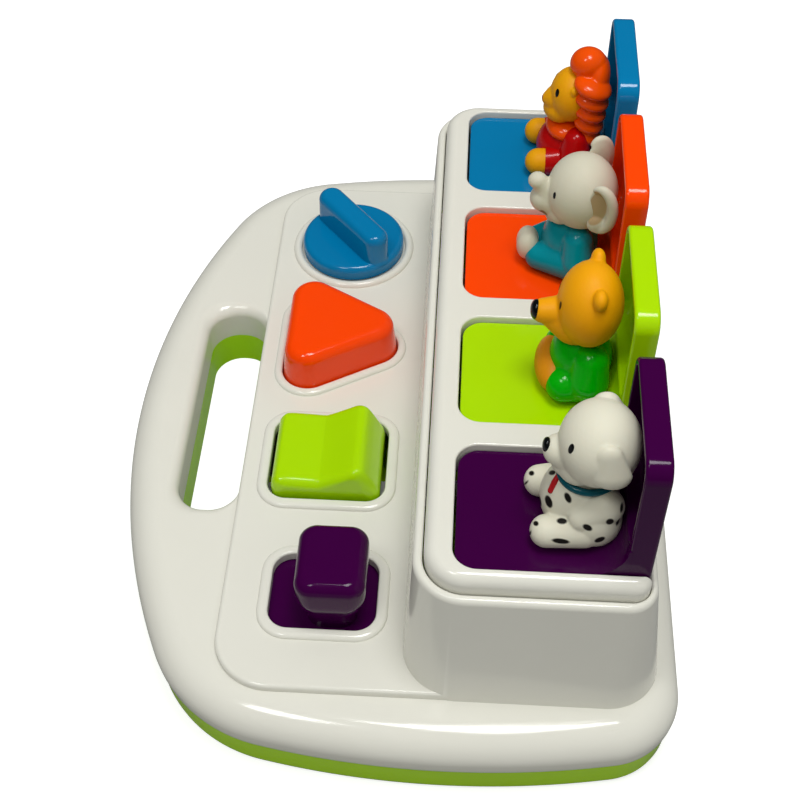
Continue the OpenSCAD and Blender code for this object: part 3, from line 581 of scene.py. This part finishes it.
def make_dial():
    cx, top = COL_X["blue"], PANEL_Z
    profile = [(0, 0.4), (22.9, 0.4), (23.6, 1.1)]
    profile += [(20.6 + 3 * math.cos(t), 4.6 + 3 * math.sin(t)) for t in quarter(10)]
    profile += [(0, 7.6)]
    dial = revolve("dial", profile, (cx, DIAL_Y, top), 128)
    union(dial, cylinder("shaft", cx, DIAL_Y, top - 7, top + 1, 6))
    # Grip: a bar with round ends, drafted and rounded over its top edges
    turn = math.radians(40)
    ct, st = math.cos(turn), math.sin(turn)

    def grip_ring(half, r, z, n=20):
        pts = []
        for s, a0 in ((1, -90), (-1, 90)):
            for i in range(n + 1):
                a = math.radians(a0 + 180 * i / n)
                pts.append((s * half + r * math.cos(a), r * math.sin(a)))
        return [(cx + px * ct - py * st, DIAL_Y + px * st + py * ct, top + z) for px, py in pts]

    rings = [grip_ring(16.9, 6.9, 6.2), grip_ring(16.8, 6.6, 7.3), grip_ring(16.7, 6.4, 8.2)]
    rings += [grip_ring(16.9, 6.1 - g, z) for g, z in rounding(21.8, 10, 3.6, 4.2)]
    union(dial, loft("grip", rings))
    cut(dial, cylinder("bore", cx, DIAL_Y, top - 8, top + 4, 1.3))
    return dial


def make_button():
    x, top = COL_X["orange"], PANEL_Z + 18

    def tri(d, r, z):
        return tri_ring(x, BUTTON_Y, d, r, z)

    # The flange under the panel, the neck in the window and the rounded cap
    rings = [tri(TRI_D, 13.2, 30.2), tri(TRI_D, 13.2, 32.6), tri(TRI_D, 10.8, 32.61),
             tri(TRI_D, 10.6, PANEL_Z + 2)]
    rings += [tri(17.6, 9.8 - g, z) for g, z in rounding(top, 14, 5.0)]
    button = loft("button", rings)
    cut(button, loft("hollow", [tri(TRI_D, 8.4, 29), tri(17.6, 7.4, top - 8), tri(17.6, 4, top - 3)]))
    union(button, box("foot", x - 2, x + 2, -15, -7, 24.4, top - 2.5),
          box("rib", x - 1, x + 1, -46, -10, 34, top - 2.5))
    return button


def spline(points, steps):
    """Catmull-Rom curve through points, with extra points on every span."""
    out = []
    pts = [points[0]] + list(points) + [points[-1]]
    for i in range(1, len(pts) - 2):
        p0, p1, p2, p3 = pts[i - 1:i + 3]
        for k in range(steps):
            t = k / steps
            out.append(tuple(0.5 * (2 * b + (c - a) * t + (2 * a - 5 * b + 4 * c - d) * t * t
                                    + (3 * b - a - 3 * c + d) * t ** 3)
                             for a, b, c, d in zip(p0, p1, p2, p3)))
    out.append(tuple(points[-1]))
    return out


def make_rocker():
    x, w = COL_X["green"], 39.0
    # Outlines in the Y-Z plane, from the axis's Y and the panel's top
    top = spline([(-22.2, 3), (-21.6, 6.0), (-20.2, 8.2), (-18, 9.1), (-10, 8.8), (-3.4, 8.5), (-1.2, 9.0),
                  (4, 11.6), (9.6, 14.6), (12.0, 15.6), (14.2, 15.4), (16.2, 13.6), (19.2, 8.0), (21.5, 3.0),
                  (22.2, 0)], 5)
    inner = [(-19, -12), (-19, 5.5), (-2, 4), (9, 10.5), (15, 10), (19.5, 0), (19.5, -12)]
    rib = [(8, 11), (12, -11.6), (15.5, -11.6), (16, 0), (14, 12)]

    def across(name, outline, half):
        return side_prism(name, [(ROCKER_Y + a, PANEL_Z + b) for a, b in outline], x - half, x + half)

    roll = rounding(w / 2, 9, 4.0)
    rings = []
    for s, side in ((-1, roll[::-1]), (1, roll)):
        for inset, off in side:
            rings.append([(x + s * off, ROCKER_Y + y * (1 - inset / 22), PANEL_Z + z - (inset if z > -1 else 0))
                          for y, z in top + [(22, -6), (-22, -6)]])
    rocker = loft("rocker", rings)
    union(rocker, *[rod_x("pin", x + s * 22 - 3.8, x + s * 22 + 3.8, ROCKER_Y, ROCKER_AXIS_Z, 2)
                    for s in (-1, 1)])
    cut(rocker, across("hollow", inner, w / 2 - 3))
    union(rocker, across("rib", rib, 2))
    return rocker


def make_slider():
    x, y, top = COL_X["purple"], LEVER_Y, PANEL_Z + 26
    plate = prism("slider", rect(x - 19, x + 19, -44.4, 13, 3), 30.8, RIM_Z)
    # Half width, half depth and height of the stick, which leans a little towards +X as it rises
    shape = spline([(13.4, 9.5, RIM_Z - 0.5), (13.5, 9.7, PANEL_Z + 1), (14.2, 10.9, PANEL_Z + 6),
                    (15.4, 12.7, PANEL_Z + 12), (15.5, 13.3, PANEL_Z + 16), (15.4, 13.3, top - 5)], 4)
    rings = [rect_ring(x - a, x + a + (z - RIM_Z) / 24, y - b, y + b, 6.5, z, n=16) for a, b, z in shape[:-1]]
    rings += [rect_ring(x - 15.4 + g, x + 16.4 - g, y - 13.3 + g, y + 13.3 - g, 6.5 - g / 2, z, n=16)
              for g, z in rounding(top, 12, 4.4, 5)]
    union(plate, loft("stick", rings))
    wedge = [(-24, 31), (-24, 24.7), (-21, 24.7), (-4, 21), (-4, 31)]
    union(plate, side_prism("wedge", wedge, x - 3, x + 3))
    return plate


dress(make_dial(), "dial", COLOURS["blue"], "dial_knob")
dress(make_button(), "button", COLOURS["orange"], "triangle_button")
dress(make_rocker(), "rocker", COLOURS["green"], "rocker_switch")
dress(make_slider(), "slider", COLOURS["purple"], "slide_lever")

# ---------------------------------------------------------------- animals


def turn_of(form):
    """Turns of a ball about X, Y and Z, in degrees."""
    return form[2] if len(form) > 2 else (0, 0, 0)


def balls_of(form):
    """Place, half sizes and spin of a ball, or of each ball in a limb."""
    if len(form) == 4:
        p, q, rp, rq = Vector(form[0]), Vector(form[1]), form[2], form[3]
        steps = max(2, int((q - p).length / (0.25 * min(rp, rq))) + 1)
        return [(p.lerp(q, k / steps), Vector((1, 1, 1)) * (rp + (rq - rp) * k / steps), Matrix())
                for k in range(steps + 1)]
    rx, ry, rz = [math.radians(a) for a in turn_of(form)]
    spin = Matrix.Rotation(rz, 4, "Z") @ Matrix.Rotation(ry, 4, "Y") @ Matrix.Rotation(rx, 4, "X")
    return [(Vector(form[0]), Vector(form[1]), spin)]


def slice_off(obj, point, side):
    """Cuts off what lies on one side of a plane through a point, and closes the cut."""
    bm = bmesh.new()
    bm.from_mesh(obj.data)
    bmesh.ops.bisect_plane(bm, geom=bm.verts[:] + bm.edges[:] + bm.faces[:], plane_co=[c * MM for c in point],
                           plane_no=side, clear_outer=True)
    bmesh.ops.holes_fill(bm, edges=[e for e in bm.edges if e.is_boundary])
    bm.to_mesh(obj.data)
    bm.free()


def blob(name, forms, rounds=8, voxel=0.5, floor=None):
    """One soft moulded form in millimetres: balls (centre, half sizes, turns about X, Y and Z) and
    limbs (from, to, radius, radius), fused and smoothed. A floor cuts it flat."""
    bm = bmesh.new()
    for form in forms:
        balls = balls_of(form)
        for at, size, spin in balls:
            place = Matrix.Translation(at * MM) @ spin @ Matrix.Diagonal((*(size * MM), 1))
            bmesh.ops.create_icosphere(bm, subdivisions=4 if len(balls) == 1 else 3, radius=1, matrix=place)
    obj = link(name, bm)
    mod = obj.modifiers.new("fuse", "REMESH")
    mod.mode = "VOXEL"
    mod.voxel_size = voxel * MM
    mod = obj.modifiers.new("soften", "SMOOTH")
    mod.factor = 0.5
    mod.iterations = rounds
    apply_modifiers(obj)
    if floor is not None:
        slice_off(obj, (0, 0, floor), (0, 0, -1))
    return obj


def pair(form):
    """A form and its mirror image on the other side of the animal's middle."""
    if len(form) == 4:
        (ax, ay, az), (bx, by, bz), ra, rb = form
        return [form, ((-ax, ay, az), (-bx, by, bz), ra, rb)]
    (x, y, z), size = form[:2]
    rx, ry, rz = turn_of(form)
    return [form, ((-x, y, z), size, (rx, -ry, -rz))]


def painted(name, rough, shine, grain=0.05, soft=0.1):
    """Moulded vinyl coloured by the piece's own paint layer, with a soft, slightly waxy skin."""
    mat = plastic(name, (1, 1, 1), rough=rough, spread=0.03, grain=grain, translucent=soft,
                  radius=(1.0, 0.7, 0.5), shine=shine)
    t = mat.node_tree
    shader = t.nodes["Principled BSDF"]
    ramp = next(n for n in t.nodes if n.type == "VALTORGB")
    layer = node(t, "ShaderNodeAttribute", attribute_name="paint")
    mix = node(t, "ShaderNodeMix", data_type="RGBA", blend_type="MULTIPLY")
    mix.inputs[0].default_value = 1.0
    t.links.new(layer.outputs["Color"], mix.inputs[6])
    t.links.new(ramp.outputs["Color"], mix.inputs[7])
    t.links.new(mix.outputs[2], shader.inputs["Base Color"])
    return mat


def paint(obj, base, patches=()):
    """Paint layer: a base colour and patches (centre, half sizes, colour, turns about X and then Y)."""
    layer = obj.data.color_attributes.new("paint", "FLOAT_COLOR", "POINT")
    spins = []
    for p in patches:
        turn = p[3] if len(p) > 3 else (0, 0)
        spin = Matrix.Rotation(math.radians(turn[1]), 3, "Y") @ Matrix.Rotation(math.radians(turn[0]), 3, "X")
        spins.append(spin.transposed())
    for v, out in zip(obj.data.vertices, layer.data):
        c = Vector(base)
        for (at, size, colour, *_), spin in zip(patches, spins):
            d = spin @ (v.co / MM - Vector(at))
            far = math.sqrt(sum((a / b) ** 2 for a, b in zip(d, size)))
            edge = 0.14 / min(size)
            k = min(1, max(0, (1 + edge - far) / (2 * edge)))
            c = c.lerp(Vector(colour), k)
        out.color = (*c, 1)


VINYL = painted("vinyl_satin", rough=0.42, shine=0.18)
GLOSS = painted("vinyl_gloss_paint", rough=0.16, grain=0.03, soft=0.03, shine=0.32)
OCHRE, MANE, RED = srgb("E8A200"), srgb("F05000"), srgb("B40608")
GREY, TEAL, PINK = srgb("CFCBB6"), srgb("008997"), srgb("8C6A50")
HONEY, LEAF, BLACK = srgb("F0A400"), srgb("00B004"), srgb("06080A")
CREAM, COLLAR = srgb("E0DDC9"), srgb("00505C")
SEAT_Z = 93.4


class Animal:
    """Collects an animal's pieces; every piece rides on its lid."""

    def __init__(self, colour):
        self.animal = ANIMALS[colour]
        self.body = "pop_lid_" + colour
        self.x = COL_X[colour]
        self.node = self.animal + "_figure"

    def place(self, obj, material, colour, patches=()):
        paint(obj, colour, patches)
        obj.data.transform(Matrix.Translation((self.x * MM, 0, 0)))
        dress(obj, self.body, material, self.node, angle=80)
        return obj

    def add(self, part, forms, material, colour, patches=(), **settings):
        return self.place(blob(self.animal + "_" + part, forms, **settings), material, colour, patches)

    def eyes(self, head, at, half, lean=0, far=0):
        """Two bead eyes seated in the head's skin: half width, half height, half thickness. The far
        one sits a little further round the head."""
        skin = BVHTree.FromPolygons([v.co for v in head.data.vertices],
                                    [f.vertices for f in head.data.polygons])
        upward = Vector((0, lean, 1))
        bm = bmesh.new()
        for s, off in ((1, 0), (-1, far)):
            start = Vector((self.x + s * (at[0] + off), at[1], at[2] - off)) * MM
            spot, normal, _, _ = skin.find_nearest(start)
            tall = (upward - normal * normal.dot(upward)).normalized()
            wide = tall.cross(normal)
            place = Matrix.Translation(spot) @ Matrix((wide, tall, normal)).transposed().to_4x4()
            bmesh.ops.create_icosphere(bm, subdivisions=3, radius=1,
                                       matrix=place @ Matrix.Diagonal((*(Vector(half) * MM), 1)))
        bmesh.ops.translate(bm, verts=bm.verts[:], vec=(-self.x * MM, 0, 0))
        self.place(link(self.animal + "_eyes", bm), GLOSS, BLACK)


def make_lion():
    a = Animal("blue")
    face = a.add("face", [((0, 68.3, 128.3), (10.8, 9.4, 12)), ((0, 62.5, 126), (0, 58.6, 125.8), 6, 3),
                          ((0, 64, 121.5), (8, 7, 6)), ((0, 61, 121.5), (5.2, 4.4, 4.4))]
                 + pair(((8.6, 68.4, 135.4), (1.6, 1.6, 2.2))), VINYL, OCHRE,
                 [((0, 55.2, 126.6), (1.5, 1.2, 1.3), srgb("8C1A10"))])
    locks = []
    for k in range(5):
        w = 1 - 0.07 * k
        locks += pair(((7.2, 76, 137.4 - 6.1 * k), (7.8 * w, 8.3 * w, 4.1), (-16, 0, 0)))
    a.add("mane", [((0, 76.2, 127), (12.2, 7.2, 16)), ((0, 78, 138.6), (9.6, 5.4, 9)),
                   ((0, 73.7, 143.9), (7.2, 7.7, 6.9)), ((0, 66.6, 112.8), (10.6, 8.2, 4.8))] + locks,
          GLOSS, MANE, voxel=0.4)
    a.add("shirt", [((0, 68.8, 102.5), (12.3, 13.8, 13))] + pair(((9.5, 71.5, 111), (11.5, 71, 104), 6, 7)),
          GLOSS, RED, floor=SEAT_Z, rounds=12)
    legs = blob("lion_trousers", pair(((9, 72, 101), (10.6, 56.5, 100.1), 7.2, 6.1)), floor=SEAT_Z)
    slice_off(legs, (0, 58.8, 0), (0, -1, 0))
    a.place(legs, GLOSS, RED)
    a.add("feet", pair(((10.6, 56, 100.1), (10.5, 62, 100.1), 5.8, 5.8)), VINYL, OCHRE, floor=SEAT_Z)
    a.eyes(face, (6.4, 61.2, 133.2), (1.1, 1.8, 0.22), -0.3)


def make_elephant():
    a = Animal("orange")
    head = a.add("head", [((0, 70.6, 130.7), (15.1, 14, 15.2)), ((0, 63, 122.5), (8.6, 6.5, 6.4)),
                          ((0, 60, 125), (0, 56, 126.4), 6.4, 5.7), ((0, 57, 128), (0, 55.6, 132), 5.2, 3.9),
                          ((0, 55.6, 132), (0, 53, 135), 3.9, 3.3), ((0, 52.9, 135), (3.6, 3.8, 3.3)),
                          ((0, 60.4, 118.4), (4.2, 3.4, 2.8))], VINYL, GREY,
                 [((3.9, 55.9, 121.7), (3, 2.4, 1.0), PINK, (-45, -49))], rounds=5)
    for s, side in ((1, "near"), (-1, "far")):
        forms = []
        for k in range(49):
            t, r = math.radians(-120 + 5 * k), 2.2 - 1.2 * abs(k / 24 - 1) ** 4
            forms.append(((s * (15 + 2.4 * math.cos(t)), 76.4 + 4.9 * math.cos(t), 134 + 9.6 * math.sin(t)),
                          (0.85 * r, r, r)))
        forms += [((s * 14, 77, 134), (1.6, 5.4, 10), (0, 0, s * -18)),
                  ((s * 14.8, 76.8, 126.6), (2.4, 4.6, 4.2))]
        # The tan patch inside each ear's bowl is painted shade: it darkens the ear's hollow where shade falls.
        a.add("ear_" + side, forms, VINYL, GREY,
              [((s * 16, 74.2, 135.4), (2.8, 4.8, 8.2), srgb("B49A74"))], voxel=0.4)
    a.add("suit", [((0, 68, 105), (12, 11.5, 15.5))] + pair(((9.2, 70.3, 112.5), (11.4, 70.5, 104), 6.2, 7))
          + pair(((11, 71, 101.5), (5, 56, 100.1), 7.6, 5.9)), GLOSS, TEAL, floor=SEAT_Z, rounds=12)
    a.add("feet", pair(((1.4, 51.2, 102.4), (5.2, 4.6, 6.5))), VINYL, GREY)
    a.eyes(head, (8.2, 59, 134.4), (0.85, 1.45, 0.2), -0.35)


def make_bear():
    a = Animal("green")
    head = a.add("head", [((0, 71.5, 133), (15.2, 12.1, 16.4)), ((0, 62, 128.8), (0, 55, 128.6), 6, 4.7),
                          ((0, 67, 124.5), (0, 57, 127), 9.4, 4.2)]
                 + pair(((10.6, 73.4, 145), (3.9, 2.7, 4.1), (0, 45, 0))), VINYL, HONEY, rounds=5)
    a.add("nose", [((0, 52.3, 129), (3.8, 2.2, 3.9))], GLOSS, BLACK, voxel=0.3, rounds=2)
    a.add("suit", [((0, 70.5, 105), (12.8, 12, 16))] + pair(((9, 73.4, 112), (11, 73, 104), 7, 8.2))
          + pair(((9, 72, 101), (10.6, 64.4, 101), 7.4, 6.9)), GLOSS, LEAF, floor=SEAT_Z, rounds=12)
    a.add("feet", [((0, 60.4, 101), (13.2, 6.8, 7.4))], VINYL, srgb("DC8E0C"), floor=SEAT_Z)
    a.eyes(head, (5.2, 58.4, 136.4), (1.0, 1.75, 0.2), -0.3)


def make_dog():
    a = Animal("purple")
    ears = []
    for k in range(9):
        t = k / 8
        ears += pair(((11.9 + 1.7 * t, 74.4 + 1.6 * t, 139.8 - 7 * t), (2.9 + 0.4 * t, 4.7 + 1.9 * t, 5.2),
                      (0, -8, 0)))
    head = a.add("head", [((0, 72.6, 133.4), (15.4, 14, 14.6)), ((0, 64, 128), (0, 59.5, 128.9), 7.4, 5.6),
                          ((0, 66.5, 124), (9.5, 8, 7.6)), ((0, 62.5, 123.5), (6, 5.4, 5))] + ears,
                 VINYL, CREAM, rounds=5)
    a.add("nose", [((0, 55.3, 131), (2.7, 1.6, 2.8))], GLOSS, BLACK, voxel=0.3, rounds=2)
    # Spots: place, half width, half height and lean of each, seen from above the near side
    spots = [(-0.6, 58.2, 115.6, 1.3, 0.8, 10), (6.8, 57.5, 109, 1.25, 2.25, 20),
             (8.9, 63.5, 114.4, 1.0, 1.9, 28), (2.6, 54.9, 102.6, 0.8, 2.5, 0),
             (12.9, 62.1, 106.6, 1.75, 1.0, 0), (18, 62, 102.1, 3.0, 0.95, -5),
             (16.4, 70.4, 108.4, 1.75, 1.05, -28), (17.7, 75, 103.5, 1.9, 1.0, 28),
             (15.2, 77.6, 110.9, 1.4, 1.25, 0), (12.7, 53.5, 104.3, 0.9, 0.85, 0),
             (-8.6, 52.1, 104.7, 0.95, 0.85, 20), (12, 81.2, 114.4, 0.6, 1.7, -5),
             (13.2, 80.6, 108.6, 0.6, 1.7, -10), (-6.7, 50.4, 101.5, 1.2, 0.32, 55),
             (13.9, 51.8, 100, 0.32, 1.2, -15)]
    black_brown = srgb("16130F")
    a.add("coat", [((0, 68.5, 105), (12.5, 13.8, 16))]
          + pair(((9.6, 76.6, 111.8), (11.4, 69, 107.6), 6.4, 5.2)) + pair(((9.2, 73.8, 103.8), (8.6, 9.2, 11)))
          + [((11.5, 70, 101), (12.5, 57.4, 100.1), 6.8, 5.9),
             ((-10.5, 70, 101), (-9.2, 55.4, 100.1), 6.8, 5.8)],
          VINYL, CREAM, [(at, (3, wide, tall), black_brown, (lean, -49)) for *at, wide, tall, lean in spots],
          floor=SEAT_Z, voxel=0.3, rounds=22)
    round_neck = [2 * math.pi * k / 64 for k in range(64)]
    a.add("collar", [((9.2 * math.sin(t), 70.4 - 9.8 * math.cos(t), 118), (1.35, 1.35, 1.35))
                     for t in round_neck], GLOSS, COLLAR, voxel=0.35, rounds=3)
    a.add("tag", [((1.6, 60.4, 117.5), (3.5, 59.1, 115.6), 1.0, 1.25),
                  ((3.5, 59.1, 115.6), (5, 57.9, 112.9), 1.25, 1.1)], GLOSS, srgb("B01A20"), voxel=0.3,
          rounds=2)
    a.eyes(head, (8.7, 61.4, 139.9), (1.15, 1.85, 0.2), -0.12, far=1.5)


make_lion()
make_elephant()
make_bear()
make_dog()

# ---------------------------------------------------------------- carried-over parts

for name, obj in nodes.items():
    if name.startswith(("release_lever", "dial_cam")):
        mat = CATCH
    elif "screw" in name or "rod" in name or "spring" in name:
        mat = STEEL
    else:
        continue
    for s in obj.material_slots:
        s.material = mat

# ---------------------------------------------------------------- floor, light and camera


def pale_floor(name):
    """Pale floor: the camera sees it white, with the object's shadow on it."""
    mat = bpy.data.materials.new(name)
    mat.use_nodes = True
    t = mat.node_tree
    t.nodes.clear()
    out = node(t, "ShaderNodeOutputMaterial")
    path = node(t, "ShaderNodeLightPath")
    grain = node(t, "ShaderNodeTexNoise", Scale=40.0, Detail=3.0)
    ramp = ramp_node(t, (0.58, 0.58, 0.58), (0.6, 0.6, 0.6))
    seen = node(t, "ShaderNodeBsdfDiffuse")
    lamp = node(t, "ShaderNodeEmission", Strength=0.72)
    unseen = node(t, "ShaderNodeBsdfDiffuse", Color=(0.3, 0.3, 0.3, 1))
    add = node(t, "ShaderNodeAddShader")
    mix = node(t, "ShaderNodeMixShader")
    t.links.new(grain.outputs["Fac"], ramp.inputs["Fac"])
    t.links.new(ramp.outputs["Color"], seen.inputs["Color"])
    t.links.new(seen.outputs["BSDF"], add.inputs[0])
    t.links.new(lamp.outputs["Emission"], add.inputs[1])
    t.links.new(path.outputs["Is Camera Ray"], mix.inputs["Fac"])
    t.links.new(unseen.outputs["BSDF"], mix.inputs[1])
    t.links.new(add.outputs["Shader"], mix.inputs[2])
    t.links.new(mix.outputs["Shader"], out.inputs["Surface"])
    return mat


bm = bmesh.new()
bmesh.ops.create_grid(bm, x_segments=8, y_segments=8, size=3.0)
floor = link("floor", bm)
floor.data.materials.append(pale_floor("floor_white"))

world = bpy.data.worlds.new("studio")
bpy.context.scene.world = world
world.use_nodes = True
wt = world.node_tree
back = wt.nodes["Background"]
# Soft room: bright ceiling, dimmer walls, and a darker room in the reflections
coord = node(wt, "ShaderNodeTexCoord")
high = node(wt, "ShaderNodeVectorMath", operation="DOT_PRODUCT")
high.inputs[1].default_value = (0.3, 0.25, 0.92)
height = node(wt, "ShaderNodeMapRange", **{"From Min": -0.1, "From Max": 1.0, "To Min": 0.2, "To Max": 0.64})
path = node(wt, "ShaderNodeLightPath")
glossy = node(wt, "ShaderNodeMath", operation="MULTIPLY_ADD")
glossy.inputs[1].default_value = -0.88
glossy.inputs[2].default_value = 1.0
power = node(wt, "ShaderNodeMath", operation="MULTIPLY")
seen = node(wt, "ShaderNodeMath", operation="MAXIMUM")
wt.links.new(coord.outputs["Generated"], high.inputs[0])
wt.links.new(high.outputs["Value"], height.inputs["Value"])
wt.links.new(path.outputs["Is Glossy Ray"], glossy.inputs[0])
wt.links.new(height.outputs["Result"], power.inputs[0])
wt.links.new(glossy.outputs["Value"], power.inputs[1])
wt.links.new(power.outputs["Value"], seen.inputs[0])
wt.links.new(path.outputs["Is Camera Ray"], seen.inputs[1])
wt.links.new(seen.outputs["Value"], back.inputs["Strength"])
back.inputs["Color"].default_value = (1, 1, 0.98, 1)


def area(name, at, to, size, power):
    lamp = bpy.data.lights.new(name, "AREA")
    lamp.shape = "RECTANGLE"
    lamp.size, lamp.size_y = size
    lamp.energy = power
    obj = bpy.data.objects.new(name, lamp)
    bpy.context.scene.collection.objects.link(obj)
    obj.location = at
    obj.rotation_euler = (Vector(to) - Vector(at)).to_track_quat("-Z", "Y").to_euler()


area("key", (0.1, 0.12, 1.2), (0, 0, 0.05), (0.35, 0.35), 5.8)
area("fill", (0.45, -0.35, 1.2), (0, 0, 0.05), (0.25, 0.25), 2.4)

camera_data = bpy.data.cameras.new("camera")
camera = bpy.data.objects.new("camera", camera_data)
bpy.context.scene.collection.objects.link(camera)
bpy.context.scene.camera = camera
camera_data.sensor_width = 36.0
camera_data.lens = 62.71
camera_data.clip_start = 0.05
camera_data.clip_end = 20.0
camera_at = (0.39548, 0.02325, 0.49128)
yaw, pitch, roll = 0.051, 0.855, 0.005
fwd = Vector((-math.cos(pitch) * math.cos(yaw), -math.cos(pitch) * math.sin(yaw), -math.sin(pitch)))
level = fwd.cross(Vector((0, 0, 1))).normalized()
steep = level.cross(fwd)
right = math.cos(roll) * level + math.sin(roll) * steep
up = -math.sin(roll) * level + math.cos(roll) * steep
camera.matrix_world = Matrix([(right[i], up[i], -fwd[i], camera_at[i]) for i in range(3)] + [(0, 0, 0, 1)])

bpy.context.scene.view_settings.view_transform = "Standard"
